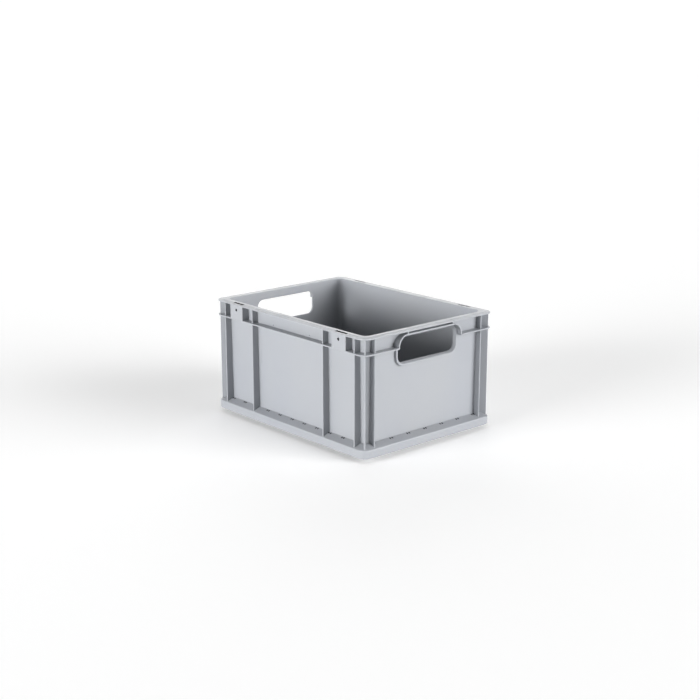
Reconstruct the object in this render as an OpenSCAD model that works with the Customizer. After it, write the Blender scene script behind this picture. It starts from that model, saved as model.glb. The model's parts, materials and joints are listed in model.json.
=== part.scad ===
// Stacking plastic crate with open hand-holds at both ends.
// X runs along the long sides, Y along the short ends, Z is up.
// The origin is the middle of the underside, on the plane that the crate stands on.
// The crate is moulded in one shot; each wall, rib, rail and ring of the moulding is a solid
// of its own here, and neighbours meet face to face.

/* [Crate] */
// Outside length, along X
length = 400; // [380:5:600]
// Outside width, along Y
width = 300; // [250:5:400]
// Height from the foot to the top of the rim
height = 210; // [150:5:420]
// Radius of the outside corners of rim, flange and base ring
corner_r = 15; // [15:0.5:18]

/* [Walls] */
// Thickness of the four walls
wall_t = 2.5; // [2:0.1:3.2]
// How far each wall leans in between the rim and the floor
wall_draft = 2.5; // [1.5:0.1:4]
// Radius of the inside corners at the rim
inside_r = 10; // [8:0.5:14]
// Thickness of the floor
floor_t = 3; // [2:0.1:5]

/* [Rim] */
// Width of the flat rim
rim_w = 16; // [15:0.5:20]
// Thickness of the rim
rim_t = 3.2; // [2.4:0.1:4]
// Width of the outer band of the rim, which is a little lower
rim_band_w = 6.5; // [5:0.1:8]
// How much lower the outer band is
rim_band_drop = 0.6; // [0.3:0.1:1]

/* [Flange] */
// From the top of the rim down to the top of the flange
flange_drop = 27.3; // [25:0.1:40]
// Thickness of the flange
flange_t = 2.5; // [2:0.1:4]

/* [Base] */
// Depth of the foot that drops into the crate below
foot_h = 8; // [5:0.5:12]
// Play between the foot and the rim of the crate below, each side
foot_play = 1.5; // [1:0.1:3]
// Thickness of the foot's wall
foot_t = 3; // [2:0.1:4]
// Height of the base ring's upright face
ring_h = 14.5; // [12:0.5:20]
// Thickness of the base ring's shell
ring_t = 2.5; // [2:0.1:3]
// How far the ring's ledge climbs towards the wall
ledge_rise = 6; // [4:0.5:8]
// Width of the ledge's slope
ledge_w = 14.5; // [11:0.5:14.5]
// Thickness of the webs inside the ring and of the ribs under the floor
web_t = 2; // [1.6:0.1:2.4]
// Widest gap between the ribs under the floor
under_gap = 75; // [60:1:90]
// How far the ribs under the floor stay above the foot's lower edge
under_lift = 2; // [1:0.5:4]

/* [Drain holes] */
// Length of each drain hole along its row
drain_hole = 2.6; // [2:0.1:2.7]
// Width of each drain hole across the ledge
drain_across = 3.6; // [2:0.1:4]
// Distance between the two holes of a pair, centre to centre
drain_pair = 4.8; // [4.7:0.1:6]
// Distance between pairs along the long sides
drain_pitch_long = 33.3; // [28:0.1:40]
// Distance between pairs along the ends
drain_pitch_end = 39; // [30:0.1:42]
// From the outside face to the middle of a drain hole
drain_in = 13; // [11:0.1:13.2]

/* [Ribs] */
// Thickness of the upright ribs
rib_t = 2.5; // [2:0.1:3]
// Middle of the crate to each tall rib of a long side
rib_x = 94.7; // [60:0.1:105]
// How far the long sides' ribs stay behind the rim's edge
rib_back_long = 2; // [1:0.1:4]
// How far the ends' ribs stay behind the rim's edge
rib_back_end = 4; // [1:0.1:6]
// How far the slanting corner ribs stay inside the rim's corner
rib_back_corner = 3; // [2:0.1:5]

/* [Lid latches] */
// Middle of the crate to the middle of each latch block
latch_x = 137; // [125:0.1:145]
// Width of a latch block
latch_w = 35; // [30:0.5:38]
// Thickness of a latch block's walls
latch_t = 2; // [1.6:0.1:2.4]
// Length of the rim slot over a latch block
slot_l = 28; // [20:0.5:29]
// Width of the slot
slot_w = 4.5; // [4.2:0.1:5]
// From the outside face to the middle of the slot
slot_in = 6.8; // [6.2:0.1:7.5]
// Diameter of the hole in a latch block's face
latch_hole_d = 5; // [2.5:0.1:5.5]
// From the top of the rim down to that hole
latch_hole_drop = 10.7; // [8:0.1:16]

/* [Hand-holds] */
// Width of the hand-hold opening
grip_w = 131; // [105:1:140]
// Height of the opening
grip_h = 42.5; // [34:0.5:50]
// Corner radius of the opening
grip_r = 12; // [8:0.5:15]
// From the top of the rim down to the opening
grip_drop = 14.5; // [12.5:0.1:16]
// From the opening's edge out to the lip
lip_step = 2; // [0.5:0.1:3]
// Width of the lip
lip_w = 3.5; // [2.5:0.1:4.5]
// How far the lip stands out of the wall
lip_out = 4; // [2:0.1:6]
// Thickness of the arch that hugs the lip's upper half
arch_t = 2.5; // [2:0.1:3]
// How far the arch stays behind the rim's edge
arch_back = 1; // [0:0.1:3]
// Middle of the hand-hold to each small web between arch and rim
arch_web_y = 52.5; // [30:0.5:53]

/* [Label holder] */
// Middle of the long side to each card notch
card_x = 48.5; // [30:0.5:55]
// Length of a card notch
card_l = 5; // [3:0.5:8]
// Height of a card notch
card_h = 2; // [1.5:0.1:3]
// Depth of a card notch
card_depth = 1.2; // [0.8:0.1:1.5]
// Diameter of the card stop above the flange
card_stop_d = 2.4; // [1.8:0.1:3]
// From the rim down to the notch, and from the flange up to the stop
card_gap = 3.5; // [3:0.1:5]

/* [Hidden] */
$fn = 64;
eps = 0.5;                      // how far a cutting shape runs past what it cuts
far = 2 * (length + width);     // longer than anything in the crate

rim_under = height - rim_t;
flange_top = height - flange_drop;
flange_low = flange_top - flange_t;
ring_top = foot_h + ring_h;
ledge_top = ring_top + ledge_rise;
floor_top = foot_h + floor_t;

corner_in = rim_w + inside_r;   // outside face to the centre of every wall corner
mid_x = length / 2 - corner_in;
mid_y = width / 2 - corner_in;
wall_in = rim_w - wall_t;       // outside face to the wall's outer face, under the rim

grip_top = height - grip_drop;
grip_z = grip_top - grip_h / 2;
arch_out = lip_step + lip_w + arch_t;   // opening's edge to the arch's outside
arch_top = grip_top + arch_out;

foot_in = rim_w + foot_play;    // outside face to the foot
under_x = length - 2 * (foot_in + foot_t);
under_y = width - 2 * (foot_in + foot_t);
cells_x = ceil(under_x / under_gap);
cells_y = ceil(under_y / under_gap);
cell_x = under_x / cells_x;
cell_y = under_y / cells_y;

// Drain pairs stand a whole number of pitches either side of the middle.
pair_margin = 4;
pairs_long = floor((mid_x - pair_margin) / drain_pitch_long);
pairs_end = floor((mid_y - pair_margin) / drain_pitch_end);

grey = [0.66, 0.68, 0.71];
grey_dark = [0.58, 0.60, 0.63];
grey_light = [0.74, 0.76, 0.79];

corner_names = ["front_left", "front_right", "rear_left", "rear_right"];

// ---------- places ----------

// Inset of the wall's outer face at height z.
function wall_in_at(z) = wall_in + wall_draft * (rim_under - z) / (rim_under - foot_h);

// Signs of the named corner: x is -1 on the left, y is -1 at the front.
function side_x(i) = i % 2 == 0 ? -1 : 1;
function side_y(i) = i < 2 ? -1 : 1;

// Draws the right end's or the front's children for the other side too.
module at_end(side) { mirror([side < 0 ? 1 : 0, 0, 0]) children(); }
module at_long(side) { mirror([0, side > 0 ? 1 : 0, 0]) children(); }
// Draws the front right corner's children at corner i.
module at_corner(i) { at_end(side_x(i)) at_long(side_y(i)) children(); }

// ---------- shared shapes ----------

// The crate's outline, moved in by inset, with corners of radius r.
module outline(inset, r) {
    w = length - 2 * inset;
    d = width - 2 * inset;
    square([w - 2 * r, d], center = true);
    square([w, d - 2 * r], center = true);
    for (sx = [-1, 1], sy = [-1, 1])
        translate([sx * (w / 2 - r), sy * (d / 2 - r)]) circle(r);
}

// A slab of that outline from z0 to z1.
module slab(inset, r, z0, z1) {
    translate([0, 0, z0]) linear_extrude(z1 - z0) outline(inset, r);
}

// A block whose four sides lean from inset in0 at z0 to inset in1 at z1.
// Its corners are cones about centres that stand centre_in from both outside faces.
module leaning_block(centre_in, z0, z1, in0, in1) {
    cx = length / 2 - centre_in;
    cy = width / 2 - centre_in;
    rotate([90, 0, 90]) translate([0, 0, -cx]) linear_extrude(2 * cx)
        leaning_outline(width / 2, z0, z1, in0, in1);
    rotate([90, 0, 0]) translate([0, 0, -cy]) linear_extrude(2 * cy)
        leaning_outline(length / 2, z0, z1, in0, in1);
    for (sx = [-1, 1], sy = [-1, 1])
        translate([sx * cx, sy * cy, z0])
            cylinder(h = z1 - z0, r1 = centre_in - in0, r2 = centre_in - in1);
}

module leaning_outline(half, z0, z1, in0, in1) {
    polygon([[-half + in0, z0], [half - in0, z0], [half - in1, z1], [-half + in1, z1]]);
}

// Everything inside the walls' outer faces, a little past floor and rim.
module wall_core() {
    z0 = foot_h - eps;
    z1 = rim_under + eps;
    leaning_block(corner_in, z0, z1, wall_in_at(z0), wall_in_at(z1));
}

// The base ring's outside shape, moved in by t for the hollow under it.
module ring_body(t) {
    slab(t, corner_r - t, t > 0 ? foot_h - eps : foot_h, ring_top - t);
    leaning_block(corner_r, ring_top - t, ledge_top - t, t, ledge_w);
}

// The round of the front right corner's wall, moved in by t.
module corner_cone(t) {
    translate([mid_x, -mid_y, foot_h]) cylinder(h = rim_under - foot_h,
        r1 = corner_in - wall_in_at(foot_h) - t, r2 = corner_in - wall_in - t);
}

// One straight wall: its section stands at the right of the Z axis and runs 2 * half along.
module straight_wall(outside, half) {
    low = wall_in_at(foot_h);
    rotate([90, 0, 0]) translate([0, 0, -half]) linear_extrude(2 * half)
        polygon([
            [outside - low, foot_h], [outside - wall_in, rim_under],
            [outside - wall_in - wall_t, rim_under], [outside - low - wall_t, foot_h]
        ]);
}

// The hand-hold's outline at the right end, moved out by grow, from x0 to x1.
module grip_prism(grow, x0, x1) {
    r = grip_r + grow;
    w = grip_w + 2 * grow;
    h = grip_h + 2 * grow;
    translate([x0, 0, grip_z]) rotate([90, 0, 90]) linear_extrude(x1 - x0) {
        square([w - 2 * r, h], center = true);
        square([w, h - 2 * r], center = true);
        for (sy = [-1, 1], sz = [-1, 1])
            translate([sy * (w / 2 - r), sz * (h / 2 - r)]) circle(r);
    }
}

// ---------- floor and base ----------

module floor_panel() {
    color(grey_dark)
        leaning_block(corner_in, foot_h, floor_top,
            wall_in_at(foot_h) + wall_t, wall_in_at(floor_top) + wall_t);
}

module stacking_foot() {
    color(grey_dark) difference() {
        slab(foot_in, corner_in - foot_in, 0, foot_h);
        slab(foot_in + foot_t, corner_in - foot_in - foot_t, -eps, foot_h + eps);
    }
}

// Ribs under the floor, inside the foot. The cross ribs run from side to side, and the long
// ribs fill the gaps between them from end to end.
module underside_cross_ribs() {
    color(grey_dark) for (i = [1 : cells_x - 1])
        translate([i * cell_x - (under_x + web_t) / 2, -under_y / 2, under_lift])
            cube([web_t, under_y, foot_h - under_lift]);
}

module underside_long_ribs() {
    color(grey_dark) for (i = [0 : cells_x - 1], j = [1 : cells_y - 1]) {
        x0 = i * cell_x + (i == 0 ? 0 : web_t / 2);
        x1 = (i + 1) * cell_x - (i == cells_x - 1 ? 0 : web_t / 2);
        translate([x0 - under_x / 2, j * cell_y - (under_y + web_t) / 2, under_lift])
            cube([x1 - x0, web_t, foot_h - under_lift]);
    }
}

// The two holes of one drain pair, drawn at the origin for a row along X.
module drain_pair_cut() {
    for (s = [-1, 1]) translate([s * drain_pair / 2, 0, ledge_top])
        cube([drain_hole, drain_across, 4 * ring_t], center = true);
}

// Put the children, which are drawn for a row along X, at each drain pair of the front
// and of the right end.
module at_long_drain_pairs() {
    for (k = [-pairs_long : pairs_long])
        translate([k * drain_pitch_long, -width / 2 + drain_in, 0]) children();
}

module at_end_drain_pairs() {
    for (k = [-pairs_end : pairs_end])
        translate([length / 2 - drain_in, k * drain_pitch_end, 0]) rotate(90) children();
}

// One straight length of the base ring: its section stands at the right of the Z axis.
module straight_rail(outside, half) {
    rotate([90, 0, 0]) translate([0, 0, -half]) linear_extrude(2 * half)
        polygon([
            [outside, foot_h], [outside, ring_top],
            [outside - ledge_w, ledge_top], [outside - wall_in_at(ledge_top), ledge_top],
            [outside - wall_in_at(ledge_top - ring_t), ledge_top - ring_t],
            [outside - ledge_w, ledge_top - ring_t],
            [outside - ring_t, ring_top - ring_t], [outside - ring_t, foot_h]
        ]);
}

module long_rail(side) {
    color(grey) at_long(side) difference() {
        rotate(-90) straight_rail(width / 2, mid_x);
        at_long_drain_pairs() drain_pair_cut();
    }
}

module end_rail(side) {
    color(grey) at_end(side) difference() {
        straight_rail(length / 2, mid_y);
        at_end_drain_pairs() drain_pair_cut();
    }
}

module base_corner(i) {
    color(grey) at_corner(i) difference() {
        intersection() {
            ring_body(0);
            translate([mid_x, -width / 2, foot_h]) cube([corner_in, corner_in, ledge_top]);
        }
        ring_body(ring_t);
        corner_cone(0);
    }
}

module front_base_rail() { long_rail(-1); }
module rear_base_rail() { long_rail(1); }
module left_base_rail() { end_rail(-1); }
module right_base_rail() { end_rail(1); }

// Webs that stiffen the hollow ring, one between the two holes of each drain pair.
module base_ring_webs() {
    color(grey_dark) difference() {
        intersection() {
            ring_body(ring_t);
            for (side = [-1, 1]) {
                at_long(side) at_long_drain_pairs() ring_web();
                at_end(side) at_end_drain_pairs() ring_web();
            }
        }
        wall_core();
    }
}

module ring_web() {
    translate([0, 0, foot_h + ledge_top / 2])
        cube([web_t, 2 * drain_in, ledge_top], center = true);
}

// ---------- walls ----------

// A long wall with the card holder's notches and stops sunk in its face.
module long_wall(side) {
    face = -width / 2 + wall_in;
    color(grey_light) at_long(side) difference() {
        rotate(-90) straight_wall(width / 2, mid_x);
        for (s = [-1, 1]) {
            notch_z = rim_under - card_gap;
            notch_y = -width / 2 + wall_in_at(notch_z) + card_depth - far / 2;
            translate([s * card_x, notch_y, notch_z])
                cube([card_l, far, card_h], center = true);
            stop_z = flange_top + card_gap;
            translate([s * card_x, -width / 2 + wall_in_at(stop_z) + card_depth, stop_z])
                rotate([90, 0, 0]) cylinder(h = wall_in, d = card_stop_d);
        }
    }
}

module end_wall(side) {
    color(grey_light) at_end(side) difference() {
        straight_wall(length / 2, mid_y);
        grip_prism(0, mid_x, length / 2);
    }
}

module corner_wall(i) {
    color(grey_light) at_corner(i) intersection() {
        difference() {
            corner_cone(0);
            corner_cone(wall_t);
        }
        translate([mid_x, -width / 2, 0]) cube([corner_in, corner_in, height]);
    }
}

module front_wall() { long_wall(-1); }
module rear_wall() { long_wall(1); }
module left_end_wall() { end_wall(-1); }
module right_end_wall() { end_wall(1); }

// ---------- ribs ----------

// Cuts upright plates off at the ledge, and leaves room for the flange.
module between_ledge_and_rim() {
    difference() {
        children();
        ring_body(0);
        translate([-far / 2, -far / 2, flange_low]) cube([far, far, flange_t]);
    }
}

// An upright plate, drawn at the right of the Z axis: its back lies on the leaning wall there,
// and its front stands back from the outside.
module rib_plate(outside, back) {
    low = ring_top - eps;
    rotate([90, 0, 0]) translate([0, 0, -rib_t / 2]) linear_extrude(rib_t)
        polygon([
            [outside - back, low], [outside - back, rim_under],
            [outside - wall_in, rim_under], [outside - wall_in_at(low), low]
        ]);
}

// That plate in the front face at x.
module long_rib(x) {
    translate([x, 0, 0]) rotate(-90) rib_plate(width / 2, rib_back_long);
}

module wall_ribs(side) {
    color(grey) at_long(side) between_ledge_and_rim()
        for (s = [-1, 1]) long_rib(s * rib_x);
}

// Three ribs: one square to each wall and one that slants out of the corner.
module corner_ribs(i) {
    slant = (corner_r - rib_back_corner) + (corner_in - corner_r) * sqrt(2);
    low = ring_top - eps;
    color(grey) at_corner(i) between_ledge_and_rim() {
        long_rib(mid_x - rib_t / 2);
        translate([0, rib_t / 2 - mid_y, 0]) rib_plate(length / 2, rib_back_end);
        difference() {
            translate([mid_x, -mid_y, low]) rotate(-45)
                translate([0, -rib_t / 2, 0]) cube([slant, rib_t, rim_under - low]);
            corner_cone(0);
        }
    }
}

module front_wall_ribs() { wall_ribs(-1); }
module rear_wall_ribs() { wall_ribs(1); }

// ---------- flange ----------

module flange_ring() {
    difference() {
        slab(0, corner_r, flange_low, flange_top);
        wall_core();
    }
}

// The flange of a long side, in lengths between the latch blocks.
module long_flange(side) {
    color(grey) at_long(side) difference() {
        intersection() {
            flange_ring();
            translate([-mid_x, -width / 2, flange_low]) cube([2 * mid_x, corner_in, flange_t]);
        }
        for (s = [-1, 1])
            translate([s * latch_x, -width / 2, flange_low])
                cube([latch_w, 2 * corner_in, 3 * flange_t], center = true);
    }
}

// The flange of an end, in two lengths beside the arch.
module end_flange(side) {
    color(grey) at_end(side) difference() {
        intersection() {
            flange_ring();
            translate([mid_x, -mid_y, flange_low]) cube([corner_in, 2 * mid_y, flange_t]);
        }
        grip_prism(arch_out, mid_x - eps, length / 2 + eps);
    }
}

module corner_flange(i) {
    color(grey) at_corner(i) difference() {
        intersection() {
            slab(0, corner_r, flange_low, flange_top);
            translate([mid_x, -width / 2, flange_low]) cube([corner_in, corner_in, flange_t]);
        }
        corner_cone(0);
    }
}

module front_flange() { long_flange(-1); }
module rear_flange() { long_flange(1); }
module left_end_flange() { end_flange(-1); }
module right_end_flange() { end_flange(1); }

// ---------- lid latches ----------

// The slot through the rim and the pocket under it take the hook of a lid.
module latch_block(i) {
    pocket_w = latch_w - 2 * latch_t;
    color(grey_light) at_corner(i) translate([latch_x, -width / 2, 0]) difference() {
        translate([-latch_w / 2, 0, flange_low]) cube([latch_w, corner_in, rim_under - flange_low]);
        translate([-pocket_w / 2, latch_t, flange_top]) cube([pocket_w, corner_in, height]);
        translate([0, latch_t + eps, height - latch_hole_drop])
            rotate([90, 0, 0]) cylinder(h = latch_t + 2 * eps, d = latch_hole_d);
        translate([-latch_x, width / 2, 0]) wall_core();
    }
}

// ---------- hand-holds ----------

module handle_lip(side) {
    front = length / 2 - wall_in_at(grip_z) + lip_out;
    color(grey_light) at_end(side) difference() {
        grip_prism(lip_step + lip_w, mid_x, front);
        grip_prism(lip_step, mid_x - eps, front + eps);
        wall_core();
    }
}

// The arch stands on the lip's upper half and carries the flange over the opening. Two small
// webs tie it to the rim.
module handle_arch(side) {
    depth = corner_in - arch_back;
    color(grey) at_end(side) difference() {
        union() {
            intersection() {
                grip_prism(arch_out, mid_x, mid_x + depth);
                translate([mid_x, -width / 2, flange_low]) cube([depth, width, arch_top]);
            }
            for (s = [-1, 1])
                translate([mid_x, s * arch_web_y - rib_t / 2, arch_top - arch_t])
                    cube([depth, rib_t, rim_under - arch_top + arch_t]);
        }
        grip_prism(arch_out - arch_t, mid_x - eps, length / 2 + eps);
        wall_core();
    }
}

module left_handle_lip() { handle_lip(-1); }
module right_handle_lip() { handle_lip(1); }
module left_handle_arch() { handle_arch(-1); }
module right_handle_arch() { handle_arch(1); }

// ---------- rim ----------

module top_rim() {
    color(grey_light) difference() {
        slab(0, corner_r, rim_under, height);
        slab(rim_w, inside_r, rim_under - eps, height + eps);
        difference() {
            slab(-eps, corner_r, height - rim_band_drop, height + eps);
            slab(rim_band_w, corner_r - rim_band_w, height - rim_band_drop - eps, height + 2 * eps);
        }
        for (i = [0 : 3]) at_corner(i) translate([latch_x, -width / 2 + slot_in, height])
            cube([slot_l, slot_w, 3 * rim_t], center = true);
    }
}

// ---------- the crate ----------

floor_panel();
stacking_foot();
underside_cross_ribs();
underside_long_ribs();
front_base_rail();
rear_base_rail();
left_base_rail();
right_base_rail();
base_ring_webs();
front_wall();
rear_wall();
left_end_wall();
right_end_wall();
front_wall_ribs();
rear_wall_ribs();
front_flange();
rear_flange();
left_end_flange();
right_end_flange();
left_handle_lip();
right_handle_lip();
left_handle_arch();
right_handle_arch();
top_rim();
for (i = [0 : 3]) {
    base_corner(i);
    corner_wall(i);
    corner_ribs(i);
    corner_flange(i);
    latch_block(i);
}
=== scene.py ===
# %% [markdown]
# # A stacking plastic crate
# This lesson dresses a crate for stacking: a 400 x 300 mm box moulded in one shot from
# silver-grey polypropylene. Its sizes are already settled in a imported model, the frame, so each
# cell reads where a feature is and builds its good-looking version there in mesh code.
# Loading the frame comes first, and the box it fills is kept for the sizes.
# %% Load the frame
import json
import math

import bmesh
import bpy
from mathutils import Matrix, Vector


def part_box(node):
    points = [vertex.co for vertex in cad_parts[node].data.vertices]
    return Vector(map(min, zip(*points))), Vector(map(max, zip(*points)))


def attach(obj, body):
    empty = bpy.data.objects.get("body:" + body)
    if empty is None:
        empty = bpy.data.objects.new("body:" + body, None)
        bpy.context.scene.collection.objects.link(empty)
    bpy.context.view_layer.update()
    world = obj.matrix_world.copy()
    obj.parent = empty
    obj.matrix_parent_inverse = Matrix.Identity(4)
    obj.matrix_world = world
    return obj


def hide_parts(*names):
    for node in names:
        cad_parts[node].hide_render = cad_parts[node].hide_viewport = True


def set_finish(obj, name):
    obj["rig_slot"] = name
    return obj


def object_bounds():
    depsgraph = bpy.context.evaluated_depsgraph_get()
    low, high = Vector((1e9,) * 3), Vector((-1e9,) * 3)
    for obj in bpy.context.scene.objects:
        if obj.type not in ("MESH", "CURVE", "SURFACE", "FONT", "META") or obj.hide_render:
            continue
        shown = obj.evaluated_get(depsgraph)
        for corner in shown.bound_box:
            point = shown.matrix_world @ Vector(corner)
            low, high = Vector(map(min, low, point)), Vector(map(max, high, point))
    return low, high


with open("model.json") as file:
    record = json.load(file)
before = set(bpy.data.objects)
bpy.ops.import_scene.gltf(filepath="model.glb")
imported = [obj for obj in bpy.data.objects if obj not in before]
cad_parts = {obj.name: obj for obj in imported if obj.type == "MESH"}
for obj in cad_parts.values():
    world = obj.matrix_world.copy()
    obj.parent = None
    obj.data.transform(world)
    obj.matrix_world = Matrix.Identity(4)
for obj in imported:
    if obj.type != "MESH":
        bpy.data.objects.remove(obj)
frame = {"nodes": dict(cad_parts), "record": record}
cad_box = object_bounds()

print("nodes in the frame:", len(frame["nodes"]))
print("box in metres:", [round(v, 4) for corner in cad_box for v in corner])

# %% [markdown]
# ## Sizes that everything shares
# A mould maker measures a crate from its outside faces inwards, and so does this lesson: an
# inset is a distance in from the outside face, the same on all four sides. Heights are the
# frame's own. The walls lean in a little towards the floor, so that the crate slides off its
# mould, and wall_inset() gives the outer face of a wall at any height.
# %% Read the sizes
mm = 0.001
half_long, half_wide = cad_box[1].x, cad_box[1].y
rim_low, rim_high = (corner.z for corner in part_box("top_rim"))
flange_low, flange_high = (corner.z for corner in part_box("front_flange"))
ring_low, ledge_high = (corner.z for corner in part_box("front_base_rail"))
floor_low, floor_high = (corner.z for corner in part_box("floor_panel"))

wall = 2.5 * mm
wall_top_inset = half_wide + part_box("front_wall")[0].y
lean = half_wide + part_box("front_wall")[1].y - wall - wall_top_inset
wall_about = half_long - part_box("corner_wall_front_right")[0].x
rim_about = 15 * mm
CORNERS = ("front_left", "front_right", "rear_left", "rear_right")


def wall_inset(z):
    """The inset of a wall's outer face at height z."""
    return wall_top_inset + lean * (rim_low - z) / (rim_low - ring_low)


def signs(corner):
    """Which way a named corner lies along X and along Y."""
    return (-1 if "left" in corner else 1), (-1 if "front" in corner else 1)


print("outside mm:", round(half_long / mm * 2), round(half_wide / mm * 2), round(rim_high / mm))
print("walls stand in mm:", round(wall_inset(rim_low) / mm, 2), "to", round(wall_inset(0) / mm, 2))

# %% [markdown]
# ## The camera
# A product picture of a crate is taken from a little above the rim and from the side of one
# corner, so that one long side, one end and the inside all show. A lens near 70 mm keeps the
# edges almost parallel. The camera stands back along one direction from the point it looks at.
# %% Place the camera
camera_turn, camera_rise = math.radians(48.50), math.radians(14.88)
camera_place = Vector((1.7142, -1.5202, 0.7361))
backwards = Vector((
    math.sin(camera_turn) * math.cos(camera_rise),
    -math.cos(camera_turn) * math.cos(camera_rise),
    math.sin(camera_rise),
))
camera_data = bpy.data.cameras.new("camera")
camera_data.sensor_width = 36
camera_data.lens = 68.77
camera_data.clip_end = 1000
camera = bpy.data.objects.new("camera", camera_data)
camera.location = camera_place
camera.rotation_mode = "QUATERNION"
camera.rotation_quaternion = (-backwards).to_track_quat("-Z", "Y")
bpy.context.scene.collection.objects.link(camera)
bpy.context.scene.camera = camera
print("camera stands", round(camera_place.length, 3), "m from the crate's middle")

# %% [markdown]
# ## Loops and skins
# A crate is mostly rings: the rim, the base ring and the walls all run round the same rounded
# rectangle. A modeller could extrude and bevel a box, but then each fillet fights the next. It
# is simpler to draw one section, walk it round the outline as loops of points, and skin the
# loops with quads. outline() makes one loop, and skin() joins loops to a closed surface.
# %% Make outlines and skins
CORNER_STEPS = 10


def outline(inset, z, about):
    """A loop round the crate at that inset, with corners turned about points `about` inside."""
    loop = []
    for quarter, (side_x, side_y) in enumerate(((1, 1), (-1, 1), (-1, -1), (1, -1))):
        for step in range(CORNER_STEPS + 1):
            turn = math.radians(90) * (quarter + step / CORNER_STEPS)
            loop.append((
                side_x * (half_long - about) + (about - inset) * math.cos(turn),
                side_y * (half_wide - about) + (about - inset) * math.sin(turn),
                z,
            ))
    return loop


def skin(loops, joined=False):
    """Points and faces of a surface through the loops: joined end to end, or capped."""
    count = len(loops[0])
    points = [point for loop in loops for point in loop]
    faces = []
    for row in range(len(loops) if joined else len(loops) - 1):
        here, there = row * count, (row + 1) % len(loops) * count
        for k in range(count):
            after = (k + 1) % count
            faces.append((here + k, here + after, there + after, there + k))
    if not joined:
        faces.append(tuple(reversed(range(count))))
        faces.append(tuple(range(len(points) - count, len(points))))
    return points, faces


print("points in one loop:", len(outline(0, 0, rim_about)))

# %% [markdown]
# ## Soft corners
# No edge of a moulded part is truly sharp, and it is the small round on each edge that catches
# the light. soften() takes a section drawn with straight lines, where each corner carries the
# radius it should have, and puts an arc in its place. A bevel modifier could do the same, but
# here each corner of the section keeps a radius of its own.
# %% Round a section's corners
def soften(section, steps=4):
    """A closed section of (across, up, radius, rest...) with an arc in place of each corner."""
    smooth = []
    for k, (across, up, radius, *rest) in enumerate(section):
        corner = Vector((across, up))
        back = Vector(section[k - 1][:2]) - corner
        on = Vector(section[(k + 1) % len(section)][:2]) - corner
        opening = back.angle(on)
        if radius == 0 or opening > math.radians(178):
            smooth.append((across, up, *rest))
            continue
        cut = min(radius / math.tan(opening / 2), 0.48 * back.length, 0.48 * on.length)
        start, end = corner + back.normalized() * cut, corner + on.normalized() * cut
        middle = (back.normalized() + on.normalized()).normalized()
        centre = corner + middle * (cut / math.cos(opening / 2))
        bend = math.pi - opening
        for step in range(steps + 1):
            share = step / steps
            arm = math.sin((1 - share) * bend) * (start - centre)
            arm = (arm + math.sin(share * bend) * (end - centre)) / math.sin(bend)
            smooth.append((centre.x + arm.x, centre.y + arm.y, *rest))
    return smooth


def ring(section):
    """Points and faces of a ring whose section holds (inset, height, radius, about)."""
    return skin([outline(inset, z, about) for inset, z, about in soften(section)], joined=True)


print("points of a softened square:", len(soften([(0, 0, .1), (1, 0, .1), (1, 1, .1), (0, 1, .1)])))

# %% [markdown]
# ## From points to a piece
# Every piece goes through the same few steps: make the mesh, turn its faces outwards, cut away
# holes with cutters, let the modifiers settle into real geometry, and say what it stands for.
# A face is of one of two kinds: an open face, or a painted shade face that a cutter leaves inside
# a hole and that later gets near-black plastic as painted shade. The kinds are empty materials for
# now, and the finishes take their place at the end.
# Weighted normals keep big flat faces flat to the eye beside small rounded edges.
# %% Build, cut and declare pieces
made = []
# The second kind marks faces inside holes that get painted shade.
open_face, painted_shade_face = (bpy.data.materials.new(name) for name in ("open face", "recess face"))


def body(name, *parts):
    """An object made of one or more sets of points and faces."""
    points, faces = [], []
    for part_points, part_faces in parts:
        faces += [tuple(len(points) + k for k in face) for face in part_faces]
        points += part_points
    mesh = bpy.data.meshes.new(name)
    mesh.from_pydata(points, [], faces)
    work = bmesh.new()
    work.from_mesh(mesh)
    bmesh.ops.remove_doubles(work, verts=work.verts, dist=0.001 * mm)
    bmesh.ops.recalc_face_normals(work, faces=work.faces)
    work.to_mesh(mesh)
    work.free()
    mesh.materials.append(open_face)
    made_body = bpy.data.objects.new(name, mesh)
    bpy.context.scene.collection.objects.link(made_body)
    return made_body


def settle(target):
    """Turns the modifiers' result into the object's own mesh."""
    graph = bpy.context.evaluated_depsgraph_get()
    mesh = bpy.data.meshes.new_from_object(target.evaluated_get(graph))
    target.modifiers.clear()
    target.data = mesh


def cut(target, cutter, inside=open_face):
    """Takes the cutter's shape out of the target; the cut faces get the face kind `inside`."""
    cutter.data.materials[0] = inside
    carve = target.modifiers.new("cut", "BOOLEAN")
    carve.operation = "DIFFERENCE"
    carve.solver = "EXACT"
    carve.material_mode = "TRANSFER"
    carve.object = cutter
    settle(target)
    bpy.data.objects.remove(cutter)


def soft_edges(target, width, sharper_than=50):
    """Rounds every edge that turns more than that many degrees."""
    edge = target.modifiers.new("edges", "BEVEL")
    edge.width = width
    edge.segments = 3
    edge.limit_method = "ANGLE"
    edge.angle_limit = math.radians(sharper_than)
    settle(target)


def declare(target, slot, nodes):
    """Shades a finished piece, hides the frame's nodes that it stands for and gives it its slot."""
    target.data.shade_smooth()
    target.data.set_sharp_from_angle(angle=math.radians(38))
    flat = target.modifiers.new("flat faces", "WEIGHTED_NORMAL")
    flat.keep_sharp = True
    settle(target)
    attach(target, "root")
    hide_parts(*nodes)
    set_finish(target, slot)
    made.append(target)
    print(target.name, "stands for", len(nodes), "nodes,", len(target.data.polygons), "faces")


# %% [markdown]
# ## Blocks
# Cutters and small details start as a box between two corners. A plain box is fine as a cutter,
# and as a detail it always gets its edges rounded afterwards.
# %% Make a block
def block(low, high):
    """Points and faces of a box between two corners."""
    x0, y0, z0 = (min(a, b) for a, b in zip(low, high))
    x1, y1, z1 = (max(a, b) for a, b in zip(low, high))
    return skin([
        [(x0, y0, z), (x1, y0, z), (x1, y1, z), (x0, y1, z)] for z in (z0, z1)
    ])


print("faces of a block:", len(block((0, 0, 0), (1, 1, 1))[1]))

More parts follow.
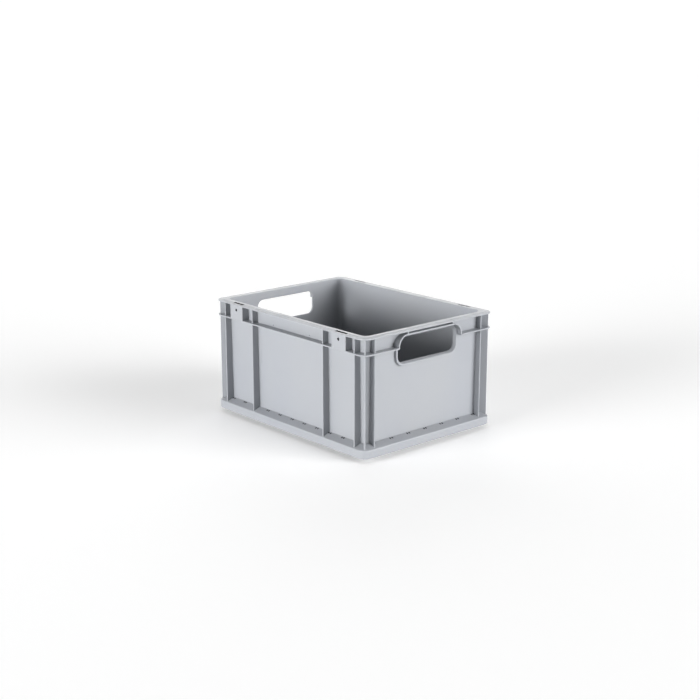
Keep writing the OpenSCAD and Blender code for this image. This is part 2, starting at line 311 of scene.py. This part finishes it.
# %% [markdown]
# ## The shell
# Floor and walls are one thin tub. Its section starts at the floor inside, climbs the inner
# face, turns over inside the rim and comes down the outer face to the underside. The turn from
# floor to wall has a generous round, as every tub has, because plastic will not flow round a
# sharp corner. The top ends inside the rim, where no seam can show.
# %% Shape the tub
floor_round = 5 * mm
hidden = 0.8 * mm
inner_low = wall_inset(floor_high) + wall


def tub():
    """Points and faces of the floor and the four walls."""
    section = []
    for step in range(7):
        turn = math.radians(90) * step / 6
        inset = inner_low + floor_round * (1 - math.sin(turn))
        section.append((inset, floor_high + floor_round * (1 - math.cos(turn))))
    section.append((wall_inset(rim_low) + wall, rim_low))
    section.append((wall_inset(rim_low) + wall - hidden / 2, rim_low + hidden))
    section.append((wall_inset(rim_low) + hidden / 2, rim_low + hidden))
    section.append((wall_inset(rim_low), rim_low))
    section.append((wall_inset(floor_low), floor_low))
    return skin([outline(inset, z, wall_about) for inset, z in section])


shell = body("crate_shell", tub())
print("tub faces before cutting:", len(shell.data.polygons))

# %% [markdown]
# ## Hand-holds through the ends
# The openings are rounded rectangles. A lip runs round each one, one step outside its edge. The
# lip's outer edge is its node's box, so the opening is that box less the lip's width and the
# step. The hole in the shell is cut a little large, and the lip's throat covers the cut.
# %% Cut the hand-holds
lip_low, lip_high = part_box("right_handle_lip")
lip_wide, lip_step = 3.5 * mm, 2 * mm
grip_round = 12 * mm
lip_out = lip_wide + lip_step
grip_half = lip_high.y - lip_out
grip_low, grip_high = lip_low.z + lip_out, lip_high.z - lip_out


def grip_loop(grow, place):
    """A loop round the hand-hold, moved out by grow, at the X that place(z) gives."""
    radius = grip_round + grow
    loop = []
    centres = ((1, grip_high), (-1, grip_high), (-1, grip_low), (1, grip_low))
    for quarter, (side, height) in enumerate(centres):
        middle_z = height - grip_round if height == grip_high else height + grip_round
        for step in range(CORNER_STEPS + 1):
            turn = math.radians(90) * (quarter + step / CORNER_STEPS)
            z = middle_z + radius * math.sin(turn)
            y = side * (grip_half - grip_round) + radius * math.cos(turn)
            loop.append((place(z), y, z))
    return loop


for side in (-1, 1):
    throat = [
        grip_loop(hidden, lambda z, x=x: side * x) for x in (half_long - 30 * mm, half_long)
    ]
    cut(shell, body("throat", skin(throat)))
print("opening in mm:", round(2 * grip_half / mm), "x", round((grip_high - grip_low) / mm))

# %% [markdown]
# ## Card notches and stops
# A paper card lies between rim and flange on each long side: two small notches under the rim and
# two round stops above the flange hold it. They are only a millimetre deep, but they show as
# fine dark marks, so they are cut into the shell itself. The notches' cut faces get near-black
# plastic, which is painted shade.
# %% Cut the card holder
card_x, card_gap, card_deep = 48.5 * mm, 3.5 * mm, 1.2 * mm
notch_long, notch_high, stop_across = 5 * mm, 2 * mm, 2.4 * mm


def disc(centre, radius, y0, y1, steps=20):
    """Points and faces of a round bar along Y."""
    return skin([[
        (centre[0] + radius * math.cos(math.tau * k / steps), y,
         centre[1] + radius * math.sin(math.tau * k / steps)) for k in range(steps)
    ] for y in (y0, y1)])


notches, stops = [], []
for side in (-1, 1):
    for end in (-1, 1):
        z = rim_low - card_gap
        y = side * (half_wide - wall_inset(z) - card_deep)
        low = (end * card_x - notch_long / 2, y, z - notch_high / 2)
        high = (end * card_x + notch_long / 2, side * half_wide, z + notch_high / 2)
        notches.append(block(low, high))
        z = flange_high + card_gap
        y = side * (half_wide - wall_inset(z) - card_deep)
        stops.append(disc((end * card_x, z), stop_across / 2, y, side * half_wide))
# The notch faces get painted shade.
cut(shell, body("notch_cutters", *notches), painted_shade_face)
cut(shell, body("stop_cutters", *stops))
declare(shell, "shell", [
    "floor_panel", "front_wall", "rear_wall", "left_end_wall", "right_end_wall",
    *("corner_wall_" + corner for corner in CORNERS),
])

# %% [markdown]
# ## The rim
# The rim is a flat band, thicker than the walls, that the next crate stands on. Its outer part
# sits a little lower than its inner part, which gives the fine step line along it. All its
# edges have small rounds, and each long side has two slots for the hooks of a lid.
# %% Shape the rim
rim_wide = wall_inset(rim_low) + wall
band_wide, band_drop = 6.5 * mm, 0.6 * mm
slot_long, slot_wide = 28 * mm, 4.5 * mm
rim = body("stepped_rim", ring([
    (0, rim_low, 0.5 * mm, rim_about),
    (0, rim_high - band_drop, 0.9 * mm, rim_about),
    (band_wide, rim_high - band_drop, 0.2 * mm, rim_about),
    (band_wide + 0.3 * mm, rim_high, 0.3 * mm, rim_about),
    (rim_wide, rim_high, 1.0 * mm, wall_about),
    (rim_wide, rim_low, 0, wall_about),
]))
slots = {}
for hollow in frame["record"]["physics"]["openings"]:
    if hollow["name"].startswith("lid_slot"):
        low, high = (Vector(corner) for corner in hollow["box_m"])
        slots[hollow["name"].replace("lid_slot_", "")] = (low + high) / 2
# The slots' cut faces get near-black plastic, which is painted shade.
cut(rim, body("slot_cutters", *(
    block((c.x - slot_long / 2, c.y - slot_wide / 2, rim_low - mm),
          (c.x + slot_long / 2, c.y + slot_wide / 2, rim_high + mm)) for c in slots.values()
)), painted_shade_face)
soft_edges(rim, 0.35 * mm, 60)
declare(rim, "rim", ["top_rim"])

# %% [markdown]
# ## The base ring
# Round the foot of the walls runs a hollow ring with an upright face and a sloping ledge. It is
# what the crate stands on when stacked, and it takes the knocks, so its edges are rounder than
# the rim's. Water leaves the ledge through pairs of small oblong holes, and inside the hollow a
# web stands between the two holes of each pair.
# %% Shape the base ring
ledge_wide, ledge_rise, ring_wall = 14.5 * mm, 6 * mm, 2.5 * mm
skirt_high = ledge_high - ledge_rise
sunk = wall_inset(ledge_high) + wall / 2
base = body("base_ring", ring([
    (0, ring_low, 1.2 * mm, rim_about),
    (0, skirt_high, 2.2 * mm, rim_about),
    (ledge_wide, ledge_high, 1.0 * mm, rim_about),
    (sunk, ledge_high, 0, wall_about),
    (sunk, ledge_high - ring_wall, 0, wall_about),
    (ledge_wide, ledge_high - ring_wall, 0.5 * mm, rim_about),
    (ring_wall, skirt_high - ring_wall, 0.5 * mm, rim_about),
    (ring_wall, ring_low, 0.5 * mm, rim_about),
]))
drain_long, drain_across = 2.6 * mm, 3.6 * mm
drain_apart, drain_inset = 4.8 * mm, 13 * mm
pitch_long, pitch_end = 33.3 * mm, 39 * mm
pairs_long, pairs_end = 5, 3


def drain_places():
    """Each pair's middle and the direction of its row: along X on a long side, Y on an end."""
    for side in (-1, 1):
        for k in range(-pairs_long, pairs_long + 1):
            yield Vector((k * pitch_long, side * (half_wide - drain_inset), 0)), Vector((1, 0, 0))
        for k in range(-pairs_end, pairs_end + 1):
            yield Vector((side * (half_long - drain_inset), k * pitch_end, 0)), Vector((0, 1, 0))


holes = []
for middle, along in drain_places():
    across = Vector((along.y, along.x, 0))
    half_hole = along * (drain_long / 2) + across * (drain_across / 2)
    for way in (-1, 1):
        hole = middle + along * (way * drain_apart / 2)
        low, high = hole - half_hole, hole + half_hole
        holes.append(block((low.x, low.y, skirt_high), (high.x, high.y, ledge_high + mm)))
# The drain holes' cut faces get near-black plastic, which is painted shade.
cut(base, body("drain_cutters", *holes), painted_shade_face)
declare(base, "rim", [
    "front_base_rail", "rear_base_rail", "left_base_rail", "right_base_rail",
    *("base_corner_" + corner for corner in CORNERS),
])

# %% [markdown]
# ## Webs inside the ring
# Each web is a thin plate across the hollow, between the two holes of a pair. Its top follows
# the ledge's slope from underneath, so it is drawn as an outline across the ring and given a
# thickness along the row.
# %% Make the webs
web_thick = 2 * mm


def plate(corners, place, thick, along):
    """A flat plate: (inset, z) corners, put in the world by place(), `thick` along `along`."""
    loops = []
    for way in (-1, 1):
        loops.append([tuple(place(inset, z) + along * (way * thick / 2)) for inset, z in corners])
    return skin(loops)


def ring_web(middle, along):
    """One web at that place in the ring."""
    outwards = Vector((0, math.copysign(1, middle.y), 0))
    outside = half_wide
    if along.y:
        outwards, outside = Vector((math.copysign(1, middle.x), 0, 0)), half_long
    centre = Vector((middle.x * along.x, middle.y * along.y, 0))

    def place(inset, z):
        return centre + outwards * (outside - inset) + Vector((0, 0, z))

    over = 0.4 * ring_wall
    corners = [
        (ring_wall - over, ring_low + 0.4 * mm), (ring_wall - over, skirt_high - ring_wall + over),
        (ledge_wide, ledge_high - ring_wall + over), (sunk, ledge_high - ring_wall + over),
        (sunk, ring_low + 0.4 * mm),
    ]
    return plate(corners, place, web_thick, along)


webs = body("ring_webs", *(ring_web(middle, along) for middle, along in drain_places()))
soft_edges(webs, 0.25 * mm)
declare(webs, "underside", ["base_ring_webs"])

# %% [markdown]
# ## Foot and lattice
# Under the floor a low wall, the foot, drops inside the rim of the crate below, and a lattice
# of ribs keeps the floor flat. The lattice stays a little above the foot's lower edge, so the
# crate slides on the foot alone.
# %% Make the foot and the lattice
foot_low, foot_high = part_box("stacking_foot")
foot_inset = half_wide - foot_high.y
foot_thick = 3 * mm
foot = body("stacking_foot_wall", ring([
    (foot_inset, foot_low.z, 0.8 * mm, wall_about),
    (foot_inset, foot_high.z + hidden, 0, wall_about),
    (foot_inset + foot_thick, foot_high.z + hidden, 0, wall_about),
    (foot_inset + foot_thick, foot_low.z, 0.8 * mm, wall_about),
]))
declare(foot, "underside", ["stacking_foot"])

lattice_low, lattice_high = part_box("underside_long_ribs")
lattice_high.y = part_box("underside_cross_ribs")[1].y
lattice_low.y = -lattice_high.y
cell_limit = 75 * mm
cells_long = math.ceil(2 * lattice_high.x / cell_limit)
cells_wide = math.ceil(2 * lattice_high.y / cell_limit)
bars = []
for k in range(1, cells_long):
    x = lattice_low.x + k * (lattice_high.x - lattice_low.x) / cells_long
    bars.append(block((x - web_thick / 2, lattice_low.y - mm, lattice_low.z),
                      (x + web_thick / 2, lattice_high.y + mm, lattice_high.z + hidden)))
for k in range(1, cells_wide):
    y = lattice_low.y + k * (lattice_high.y - lattice_low.y) / cells_wide
    bars.append(block((lattice_low.x - mm, y - web_thick / 2, lattice_low.z + 0.02 * mm),
                      (lattice_high.x + mm, y + web_thick / 2, lattice_high.z + hidden / 2)))
lattice = body("floor_lattice", *bars)
soft_edges(lattice, 0.4 * mm)
declare(lattice, "underside", ["underside_cross_ribs", "underside_long_ribs"])
print("cells:", cells_long, "x", cells_wide)

# %% [markdown]
# ## Upright ribs
# The ribs are thin plates that stand square to the wall, from the ledge up to the rim. The
# outline of one is drawn in its own plane, with its foot following the ledge and its back
# buried in the leaning wall. Only the front edge gets a round nose, which is the bright
# line that a rib shows.
# %% Make the ribs
rib_thick = 2.5 * mm
nose = 0.9 * mm


def ledge_at(inset):
    """The ledge's height at that inset."""
    return skirt_high + min(1, inset / ledge_wide) * (ledge_high - skirt_high)


def rib(front_inset, place, along):
    """A rib from that inset back into the wall; place() puts an (inset, z) corner in the world."""
    corners = [
        (front_inset, ledge_at(front_inset) - hidden), (ledge_wide, ledge_high - hidden),
        (wall_inset(ledge_high) + wall / 2, ledge_high - hidden),
        (wall_inset(rim_low) + wall / 2, rim_low + hidden), (front_inset, rim_low + hidden),
    ]
    return plate(corners, place, rib_thick, along)


def round_noses(target, is_front):
    """Rounds the long upright edges whose middle is_front() says belong to a nose."""
    work = bmesh.new()
    work.from_mesh(target.data)
    long_edges = [
        edge for edge in work.edges
        if abs(edge.verts[0].co.z - edge.verts[1].co.z) > 50 * mm
        and is_front((edge.verts[0].co + edge.verts[1].co) / 2)
    ]
    bmesh.ops.bevel(work, geom=long_edges, offset=nose, segments=4, profile=0.5, affect="EDGES")
    work.to_mesh(target.data)
    work.free()
    return len(long_edges)


def long_side_place(x, side):
    """Puts (inset, z) on the long side `side` at x."""
    return lambda inset, z: Vector((x, side * (half_wide - inset), z))


for name, side in (("front", -1), ("rear", 1)):
    low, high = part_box(name + "_wall_ribs")
    front = half_wide - max(abs(low.y), abs(high.y))
    rib_x = high.x - rib_thick / 2
    ribs = body(name + "_ribs", *(
        rib(front, long_side_place(end * rib_x, side), Vector((1, 0, 0))) for end in (-1, 1)
    ))
    limit = half_wide - front - mm
    count = round_noses(ribs, lambda middle: abs(middle.y) > limit)
    declare(ribs, "ribs", [name + "_wall_ribs"])
    print(name, "nose edges:", count)

# %% [markdown]
# ## Corner ribs
# Each corner has three ribs: one square to the long side, one square to the end, and one that
# slants out of the round corner. The slanting one is measured along the diagonal, where an inset
# counts inwards from an arc that touches the crate's box on both sides. Its tip stays a little
# inside the rim's corner, and its foot runs in one straight line up to the ledge's crest.
# %% Make the corner ribs
slant_back, slant_crest, slant_sink = 3 * mm, 8 * mm, 0.5 * mm
for corner in CORNERS:
    side_x, side_y = signs(corner)
    low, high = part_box("corner_ribs_" + corner)
    front_long = half_wide - max(abs(low.y), abs(high.y))
    front_end = half_long - max(abs(low.x), abs(high.x))
    long_x = min(abs(low.x), abs(high.x)) + rib_thick / 2
    end_y = min(abs(low.y), abs(high.y)) + rib_thick / 2
    centre = Vector((side_x * (half_long - wall_about), side_y * (half_wide - wall_about), 0))
    slant = Vector((side_x, side_y, 0)).normalized()
    tip = (rim_about - slant_back) + (wall_about - rim_about) * math.sqrt(2)
    reach = wall_about - tip

    def end_place(inset, z):
        return Vector((side_x * (half_long - inset), side_y * end_y, z))

    def slant_place(inset, z):
        return centre + slant * (wall_about - inset) + Vector((0, 0, z))

    slant_foot = ledge_at(half_wide - abs((centre + slant * tip).y)) - hidden
    slant_corners = [
        (reach, slant_foot - slant_sink), (slant_crest, ledge_high - hidden),
        (wall_inset(ledge_high) + wall / 2, ledge_high - hidden),
        (wall_inset(rim_low) + wall / 2, rim_low + hidden), (reach, rim_low + hidden),
    ]
    ribs = body(
        "corner_ribs_piece_" + corner,
        rib(front_long, long_side_place(side_x * long_x, side_y), Vector((1, 0, 0))),
        rib(front_end, end_place, Vector((0, 1, 0))),
        plate(slant_corners, slant_place, rib_thick, Vector((slant.y, -slant.x, 0))),
    )

    def is_nose(middle):
        out = (middle - centre).dot(slant) > tip - mm
        return (out or abs(middle.y) > half_wide - front_long - 0.1 * mm
                or abs(middle.x) > half_long - front_end - 0.1 * mm)

    print(corner, "nose edges:", round_noses(ribs, is_nose))
    declare(ribs, "ribs", ["corner_ribs_" + corner])

# %% [markdown]
# ## The flange
# A thin shelf runs round the crate below the rim and carries the load of a gripped crate into
# the ribs. It stops at the latch blocks and at the arches over the hand-holds. It is made as a
# full ring first, and boxes then cut the gaps, each a hair smaller than what fills the gap.
# %% Make the flange
into, past = 0.8 * mm, 9 * mm
flange = body("flange_ring", ring([
    (0, flange_low, 0.7 * mm, rim_about),
    (0, flange_high, 0.7 * mm, rim_about),
    (wall_inset(flange_high) + wall / 2, flange_high, 0, wall_about),
    (wall_inset(flange_low) + wall / 2, flange_low, 0, wall_about),
]))
gaps = []
for corner in CORNERS:
    low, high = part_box("latch_block_" + corner)
    gaps.append(block((low.x + into, low.y - past, flange_low - mm),
                      (high.x - into, high.y + past, flange_high + mm)))
for side in ("left", "right"):
    low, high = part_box(side + "_handle_arch")
    gaps.append(block((low.x - past, low.y + into, flange_low - mm),
                      (high.x + past, high.y - into, flange_high + mm)))
cut(flange, body("flange_cutters", *gaps))
declare(flange, "ribs", [
    "front_flange", "rear_flange", "left_end_flange", "right_end_flange",
    *("corner_flange_" + corner for corner in CORNERS),
])

# %% [markdown]
# ## Latch blocks
# Under each slot of the rim hangs a small hollow block that keeps the hook of a lid. It is a
# box with a pocket that is open at the top, and a small round hole goes through its face. The
# record's bore says where that hole is and how wide.
# %% Make the latch blocks
latch_wall = 2 * mm
for corner in CORNERS:
    side_x, side_y = signs(corner)
    low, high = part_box("latch_block_" + corner)
    face = side_y * half_wide
    back = side_y * (half_wide - wall_inset(flange_low) - wall / 2)
    latch = body("latch_" + corner, block((low.x, face, low.z), (high.x, back, rim_low + hidden)))
    soft_edges(latch, into)
    pocket = block(
        (low.x + latch_wall, face - side_y * latch_wall, flange_high),
        (high.x - latch_wall, side_y * (half_wide - wall_inset(flange_high)), rim_high),
    )
    bore = next(m for m in frame["record"]["mounts"] if m["name"] == "lid_clip_hole_" + corner)
    hole = disc((bore["pos_m"][0], bore["pos_m"][2]), bore["dims"]["r_mm"] * mm,
                face + side_y * mm, face - side_y * (latch_wall + mm), steps=28)
    # The pocket and hole faces get near-black plastic, which is painted shade.
    cut(latch, body("pocket_cutter", pocket), painted_shade_face)
    cut(latch, body("hole_cutter", hole), painted_shade_face)
    declare(latch, "ribs", ["latch_block_" + corner])

# %% [markdown]
# ## Lips round the hand-holds
# A hand never meets the raw edge of the wall: a lip with rounded edges stands out of it all
# round the opening. The throat runs straight through the wall and then flares out by one step to
# the lip. A bevelled curve could follow the outline, but it would not meet the leaning wall, so
# loops are walked round the opening instead, and place() takes each point to the wall's face at
# that height.
# %% Make the lips
lip_round, throat_round = 0.7 * mm, 0.5 * mm
lip_front = lip_high.x


def quarter_round(steps=4):
    """Shares (along, across) of a quarter circle that starts level with its tangent."""
    for step in range(steps + 1):
        turn = math.radians(90) * step / steps
        yield 1 - math.cos(turn), 1 - math.sin(turn)


def outer_face(z):
    return half_long - wall_inset(z)


def inner_face(z):
    return half_long - wall_inset(z) - wall


for name, side in (("left", -1), ("right", 1)):
    loops = [grip_loop(lip_out, lambda z: side * (outer_face(z) - hidden))]
    for in_by, back_by in quarter_round():
        loops.append(grip_loop(lip_out - in_by * lip_round,
                               lambda z, b=back_by: side * (lip_front - b * lip_round)))
    for in_by, back_by in reversed(list(quarter_round())):
        loops.append(grip_loop(lip_step + in_by * lip_round,
                               lambda z, b=back_by: side * (lip_front - b * lip_round)))
    loops.append(grip_loop(0, lambda z: side * outer_face(z)))
    for out_by, rise in quarter_round():
        loops.append(grip_loop(out_by * throat_round,
                               lambda z, r=rise: side * (inner_face(z) + r * throat_round)))
    loops.append(grip_loop(2 * hidden, lambda z: side * inner_face(z)))
    loops.append(grip_loop(2 * hidden, lambda z: side * (inner_face(z) + hidden)))
    lip = body(name + "_grip_lip", skin(loops, joined=True))
    declare(lip, "ribs", [name + "_handle_lip"])

# %% [markdown]
# ## Arches over the hand-holds
# Over each opening the flange climbs in an arch that hugs the lip's upper half, and comes down
# on the other side. Two small webs tie the arch to the rim. The arch is a section with a rounded
# front, swept along a path with two round shoulders, and the webs are small plates. They are
# joined in one piece, because they are one web of plastic on the real crate.
# %% Make the arches
arch_thick = 2.5 * mm
shoulder = grip_round + lip_out + arch_thick
arch_round = 0.7 * mm
arch_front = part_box("right_handle_arch")[1].x
arch_top = lip_high.z + arch_thick
web_y = 52.5 * mm


def arch_path(inside):
    """Points (y, z) of the arch's outline from one foot to the other, moved in by `inside`."""
    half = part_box("right_handle_arch")[1].y - inside
    top, radius = arch_top - inside, shoulder - inside
    path = [(-half, flange_low)]
    for step in range(CORNER_STEPS + 1):
        turn = math.radians(90) * step / CORNER_STEPS
        path.append((-half + radius * (1 - math.cos(turn)), top - radius * (1 - math.sin(turn))))
    return path + [(-y, z) for y, z in reversed(path)]


def arch_sections(side):
    """Closed sections along the arch: buried in the wall at the back, rounded at the front."""
    sections = []
    for outer, inner in zip(arch_path(0), arch_path(arch_thick)):
        outer, inner = Vector(outer), Vector(inner)
        back = half_long - wall_inset(outer.y) - wall / 2
        profile = soften([
            (back, 0, 0), (arch_front, 0, arch_round), (arch_front, arch_thick, arch_round),
            (back, arch_thick, 0),
        ])
        loop = []
        for x, across in profile:
            spot = outer.lerp(inner, across / arch_thick)
            loop.append((side * x, spot.x, spot.y))
        sections.append(loop)
    return sections


for name, side in (("left", -1), ("right", 1)):
    arch = body(name + "_arch", skin(arch_sections(side)))
    cheeks = body("cheeks", *(
        block((side * (half_long - wall_inset(arch_top) - wall / 2), way * web_y - rib_thick / 2,
               arch_top - hidden),
              (side * (arch_front - 0.3 * mm), way * web_y + rib_thick / 2, rim_low + hidden))
        for way in (-1, 1)
    ))
    soft_edges(cheeks, 0.4 * mm)
    joined = bmesh.new()
    joined.from_mesh(arch.data)
    joined.from_mesh(cheeks.data)
    joined.to_mesh(arch.data)
    joined.free()
    bpy.data.objects.remove(cheeks)
    declare(arch, "ribs", [name + "_handle_arch"])

# %% [markdown]
# ## The plastic
# Silver-grey polypropylene has a satin skin. The mould leaves a very fine grain, the colour
# drifts by a percent or two as the melt flows, and edges that rub on other crates go lighter
# and smoother. One function makes the finish, with its strength of grain, rub and scuffs for
# each kind of surface. The coordinates are the object's own, so nothing slides when it turns.
# The faces inside holes, slots and pockets get a near-black copy of the same plastic: painted
# shade.
# %% Make the finishes
def moulded_plastic(name, colour, roughness, grain, rub, scuff):
    """A satin polypropylene. grain, rub and scuff say how strong each effect is."""
    material = bpy.data.materials.new(name)
    material.use_nodes = True
    nodes, links = material.node_tree.nodes, material.node_tree.links
    shader = nodes["Principled BSDF"]
    shader.inputs["IOR"].default_value = 1.49
    shader.inputs["Specular IOR Level"].default_value = 0.5
    places = nodes.new("ShaderNodeTexCoord")

    def noise(scale, detail, stretch=(1, 1, 1)):
        """Noise over the object, `scale` features to the metre."""
        turn = nodes.new("ShaderNodeMapping")
        turn.inputs["Scale"].default_value = stretch
        links.new(places.outputs["Object"], turn.inputs["Vector"])
        source = nodes.new("ShaderNodeTexNoise")
        source.inputs["Scale"].default_value = scale
        source.inputs["Detail"].default_value = detail
        links.new(turn.outputs["Vector"], source.inputs["Vector"])
        return source.outputs["Fac"]

    def spread(value, low, high, to_low, to_high):
        """Maps low..high of a value to to_low..to_high, and holds it there beyond."""
        scale = nodes.new("ShaderNodeMapRange")
        for socket, number in zip(("From Min", "From Max", "To Min", "To Max"),
                                  (low, high, to_low, to_high)):
            scale.inputs[socket].default_value = number
        links.new(value, scale.inputs["Value"])
        return scale.outputs["Result"]

    def mixed(share, one, other):
        """A colour between two, each a socket or a colour."""
        mix = nodes.new("ShaderNodeMix")
        mix.data_type = "RGBA"
        links.new(share, mix.inputs["Factor"])
        for socket, value in zip((mix.inputs[6], mix.inputs[7]), (one, other)):
            if isinstance(value, tuple):
                socket.default_value = (*value, 1)
            else:
                links.new(value, socket)
        return mix.outputs[2]

    def arithmetic(kind, one, other):
        """One step of sums with a socket and a number or another socket."""
        step = nodes.new("ShaderNodeMath")
        step.operation = kind
        links.new(one, step.inputs[0])
        if isinstance(other, (int, float)):
            step.inputs[1].default_value = other
        else:
            links.new(other, step.inputs[1])
        return step.outputs[0]

    flow = spread(noise(9, 3, (1, 1, 0.45)), 0.3, 0.7, 0.0, 1.0)
    cooler = tuple(c * f for c, f in zip(colour, (0.975, 0.98, 0.995)))
    warmer = tuple(c * f for c, f in zip(colour, (1.02, 1.015, 1.0)))
    body_colour = mixed(flow, cooler, warmer)

    rounded = nodes.new("ShaderNodeBevel")
    rounded.samples = 4
    rounded.inputs["Radius"].default_value = 1.1 * mm
    surface = nodes.new("ShaderNodeNewGeometry")
    meet = nodes.new("ShaderNodeVectorMath")
    meet.operation = "DOT_PRODUCT"
    links.new(rounded.outputs["Normal"], meet.inputs[0])
    links.new(surface.outputs["True Normal"], meet.inputs[1])
    edge = spread(meet.outputs["Value"], 0.99, 0.86, 0.0, 1.0)
    patchy = spread(noise(160, 4), 0.42, 0.62, 0.25, 1.0)
    worn = arithmetic("MULTIPLY", arithmetic("MULTIPLY", edge, patchy), rub)
    rubbed = tuple(min(1, c * 1.18) for c in colour)
    edge_colour = mixed(worn, body_colour, rubbed)

    scratches = spread(noise(60, 5, (1, 1, 14)), 0.62, 0.72, 0.0, scuff)
    scuffed = mixed(scratches, edge_colour, tuple(min(1, c * 1.1) for c in colour))
    links.new(scuffed, shader.inputs["Base Color"])

    dull = spread(noise(45, 3), 0.35, 0.65, roughness - 0.035, roughness + 0.035)
    smoother = arithmetic("SUBTRACT", dull, arithmetic("MULTIPLY", worn, 0.10))
    links.new(smoother, shader.inputs["Roughness"])

    bump = nodes.new("ShaderNodeBump")
    bump.inputs["Strength"].default_value = grain
    bump.inputs["Distance"].default_value = 0.03 * mm
    links.new(noise(2400, 2), bump.inputs["Height"])
    links.new(bump.outputs["Normal"], shader.inputs["Normal"])
    return material


grey = (0.290, 0.302, 0.325)
finishes = {
    "shell": moulded_plastic("shell plastic", grey, 0.42, 0.5, 0.5, 0.25),
    "rim": moulded_plastic("rim plastic", grey, 0.38, 0.35, 0.9, 0.5),
    "ribs": moulded_plastic("rib plastic", grey, 0.40, 0.4, 0.7, 0.3),
    "underside": moulded_plastic("underside plastic", tuple(0.92 * c for c in grey), 0.5, 0.6,
                                 1.0, 0.7),
}
# Painted shade: a near-black copy of the plastic for the faces inside holes, slots and pockets.
painted_recess_shade = moulded_plastic("dusty recess plastic", tuple(0.06 * c for c in grey), 0.8, 0.6, 0.0, 0.0)
for piece in made:
    for k, kind in enumerate(piece.data.materials):
        piece.data.materials[k] = painted_recess_shade if kind == painted_shade_face else finishes[piece["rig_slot"]]
print("finishes:", ", ".join(finishes), "on", len(made), "pieces")

# %% [markdown]
# ## The floor
# The crate stands on a plain pale floor that reaches to the horizon. Goods that need a clean
# white ground are set on a light table, which glows a little from below, and that also washes
# out most of the shadow under the base ring. A faint emission does the same here.
# %% Lay the floor
reach = 400
floor = body("floor", skin([
    [(-reach, -reach, z), (reach, -reach, z), (reach, reach, z), (-reach, reach, z)]
    for z in (-0.05, 0)
]))
floor_material = bpy.data.materials.new("pale floor")
floor_material.use_nodes = True
floor_shader = floor_material.node_tree.nodes["Principled BSDF"]
floor_shader.inputs["Base Color"].default_value = (0.85, 0.85, 0.85, 1)
floor_shader.inputs["Roughness"].default_value = 0.9
floor_shader.inputs["Emission Color"].default_value = (1, 1, 1, 1)
floor_shader.inputs["Emission Strength"].default_value = 0.22
floor.data.materials[0] = floor_material
print("floor side in metres:", 2 * reach)

# %% [markdown]
# ## Studio light
# The light comes from a studio dome made of a few soft panels: directions on the sky that glow,
# with edges that fade. Because they are far away, they light the floor evenly. The two strong
# panels stand low, beside the long side and beside the end, so they light the walls and leave the
# inside dark. The side that the camera looks from stays dim, which draws the dark flanks on the
# ribs, and a weak low panel behind the crate gives rim and ledge their sheen. Area lights could
# do it too, but then the walls would be brighter near the lights.
# %% Hang the panels
world = bpy.data.worlds.new("studio")
bpy.context.scene.world = world
world.use_nodes = True
sky, sky_links = world.node_tree.nodes, world.node_tree.links
sky_places = sky.new("ShaderNodeTexCoord")
background = sky["Background"]
total = None
# Each panel: compass turn and rise of its middle in degrees, half its width, how far its edge
# fades to either side, and its strength.
PANELS = (
    (-6, 3, 13, 9, 30.0),
    (115, 8, 19, 11, 13.6),
    (-95, 8, 16, 12, 2.2),
    (0, 88, 20, 12, 1.3),
    (-132, 16, 16, 10, 2.8),
)
AMBIENT = 0.05
for turn, rise, reach, fade, strength in PANELS:
    turn, rise = math.radians(turn), math.radians(rise)
    facing = (math.sin(turn) * math.cos(rise), -math.cos(turn) * math.cos(rise), math.sin(rise))
    towards = sky.new("ShaderNodeVectorMath")
    towards.operation = "DOT_PRODUCT"
    towards.inputs[1].default_value = facing
    sky_links.new(sky_places.outputs["Generated"], towards.inputs[0])
    glow = sky.new("ShaderNodeMapRange")
    glow.interpolation_type = "SMOOTHSTEP"
    glow.inputs["From Min"].default_value = math.cos(math.radians(reach + fade))
    glow.inputs["From Max"].default_value = math.cos(math.radians(reach - fade))
    glow.inputs["To Max"].default_value = strength
    sky_links.new(towards.outputs["Value"], glow.inputs["Value"])
    if total is None:
        total = glow.outputs["Result"]
    else:
        add = sky.new("ShaderNodeMath")
        sky_links.new(total, add.inputs[0])
        sky_links.new(glow.outputs["Result"], add.inputs[1])
        total = add.outputs[0]
lift = sky.new("ShaderNodeMath")
lift.inputs[1].default_value = AMBIENT
sky_links.new(total, lift.inputs[0])
sky_links.new(lift.outputs[0], background.inputs["Strength"])
background.inputs["Color"].default_value = (1, 1, 1, 1)
bpy.context.scene.view_settings.view_transform = "Standard"
print("panels:", len(PANELS))
